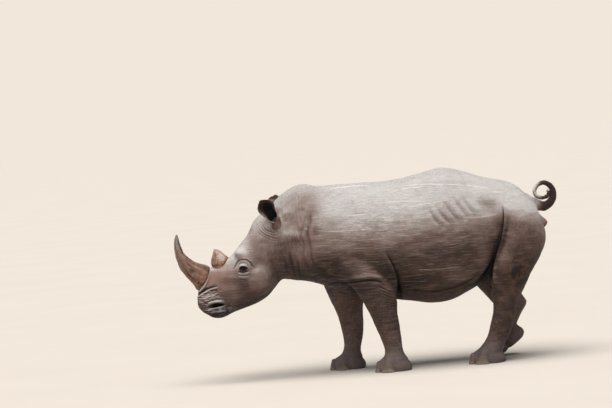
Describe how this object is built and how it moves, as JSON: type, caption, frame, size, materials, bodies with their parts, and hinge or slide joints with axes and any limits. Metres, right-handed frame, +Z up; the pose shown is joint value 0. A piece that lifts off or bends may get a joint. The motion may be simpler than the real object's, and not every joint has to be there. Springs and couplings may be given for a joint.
{
  "type": "white rhinoceros, still model",
  "caption": "White rhinoceros in mid stride, life size and still: square muzzle, curved front horn, short rear horn, cupped ears, folded flanks and a curled tail.",
  "frame": {"origin": "on the floor, at the bottom centre of the whole animal's box", "axes": "+Z up, -X towards the muzzle, +X towards the tail, -Y towards the animal's left side"},
  "size_m": [3.3572, 0.9773, 1.7001],
  "materials": {
    "skin": "thick, dry, wrinkled and dusty, matt",
    "horn": "fibrous keratin, satin with a worn paler tip",
    "nail": "smooth worn keratin, matt",
    "eye": "dark and wet, glossy"
  },
  "bodies": {
    "root": {"ear_left": "skin", "ear_right": "skin", "eye_left": "eye", "eye_right": "eye", "forefoot_left": "skin", "forefoot_right": "skin", "foreleg_lower_left": "skin", "foreleg_lower_right": "skin", "foreleg_upper_left": "skin", "foreleg_upper_right": "skin", "forenail_left_inner": "nail", "forenail_left_middle": "nail", "forenail_left_outer": "nail", "forenail_right_inner": "nail", "forenail_right_middle": "nail", "forenail_right_outer": "nail", "head": "skin", "hindfoot_left": "skin", "hindfoot_right": "skin", "hindnail_left_inner": "nail", "hindnail_left_middle": "nail", "hindnail_left_outer": "nail", "hindnail_right_inner": "nail", "hindnail_right_middle": "nail", "hindnail_right_outer": "nail", "horn_front": "horn", "horn_rear": "horn", "lower_jaw": "skin", "muzzle": "skin", "neck": "skin", "shank_left": "skin", "shank_right": "skin", "tail_lower": "skin", "tail_root": "skin", "tail_tip": "skin", "tail_upper": "skin", "thigh_left": "skin", "thigh_right": "skin", "trunk_barrel": "skin", "trunk_chest": "skin", "trunk_rump": "skin"}
  },
  "joints": []
}
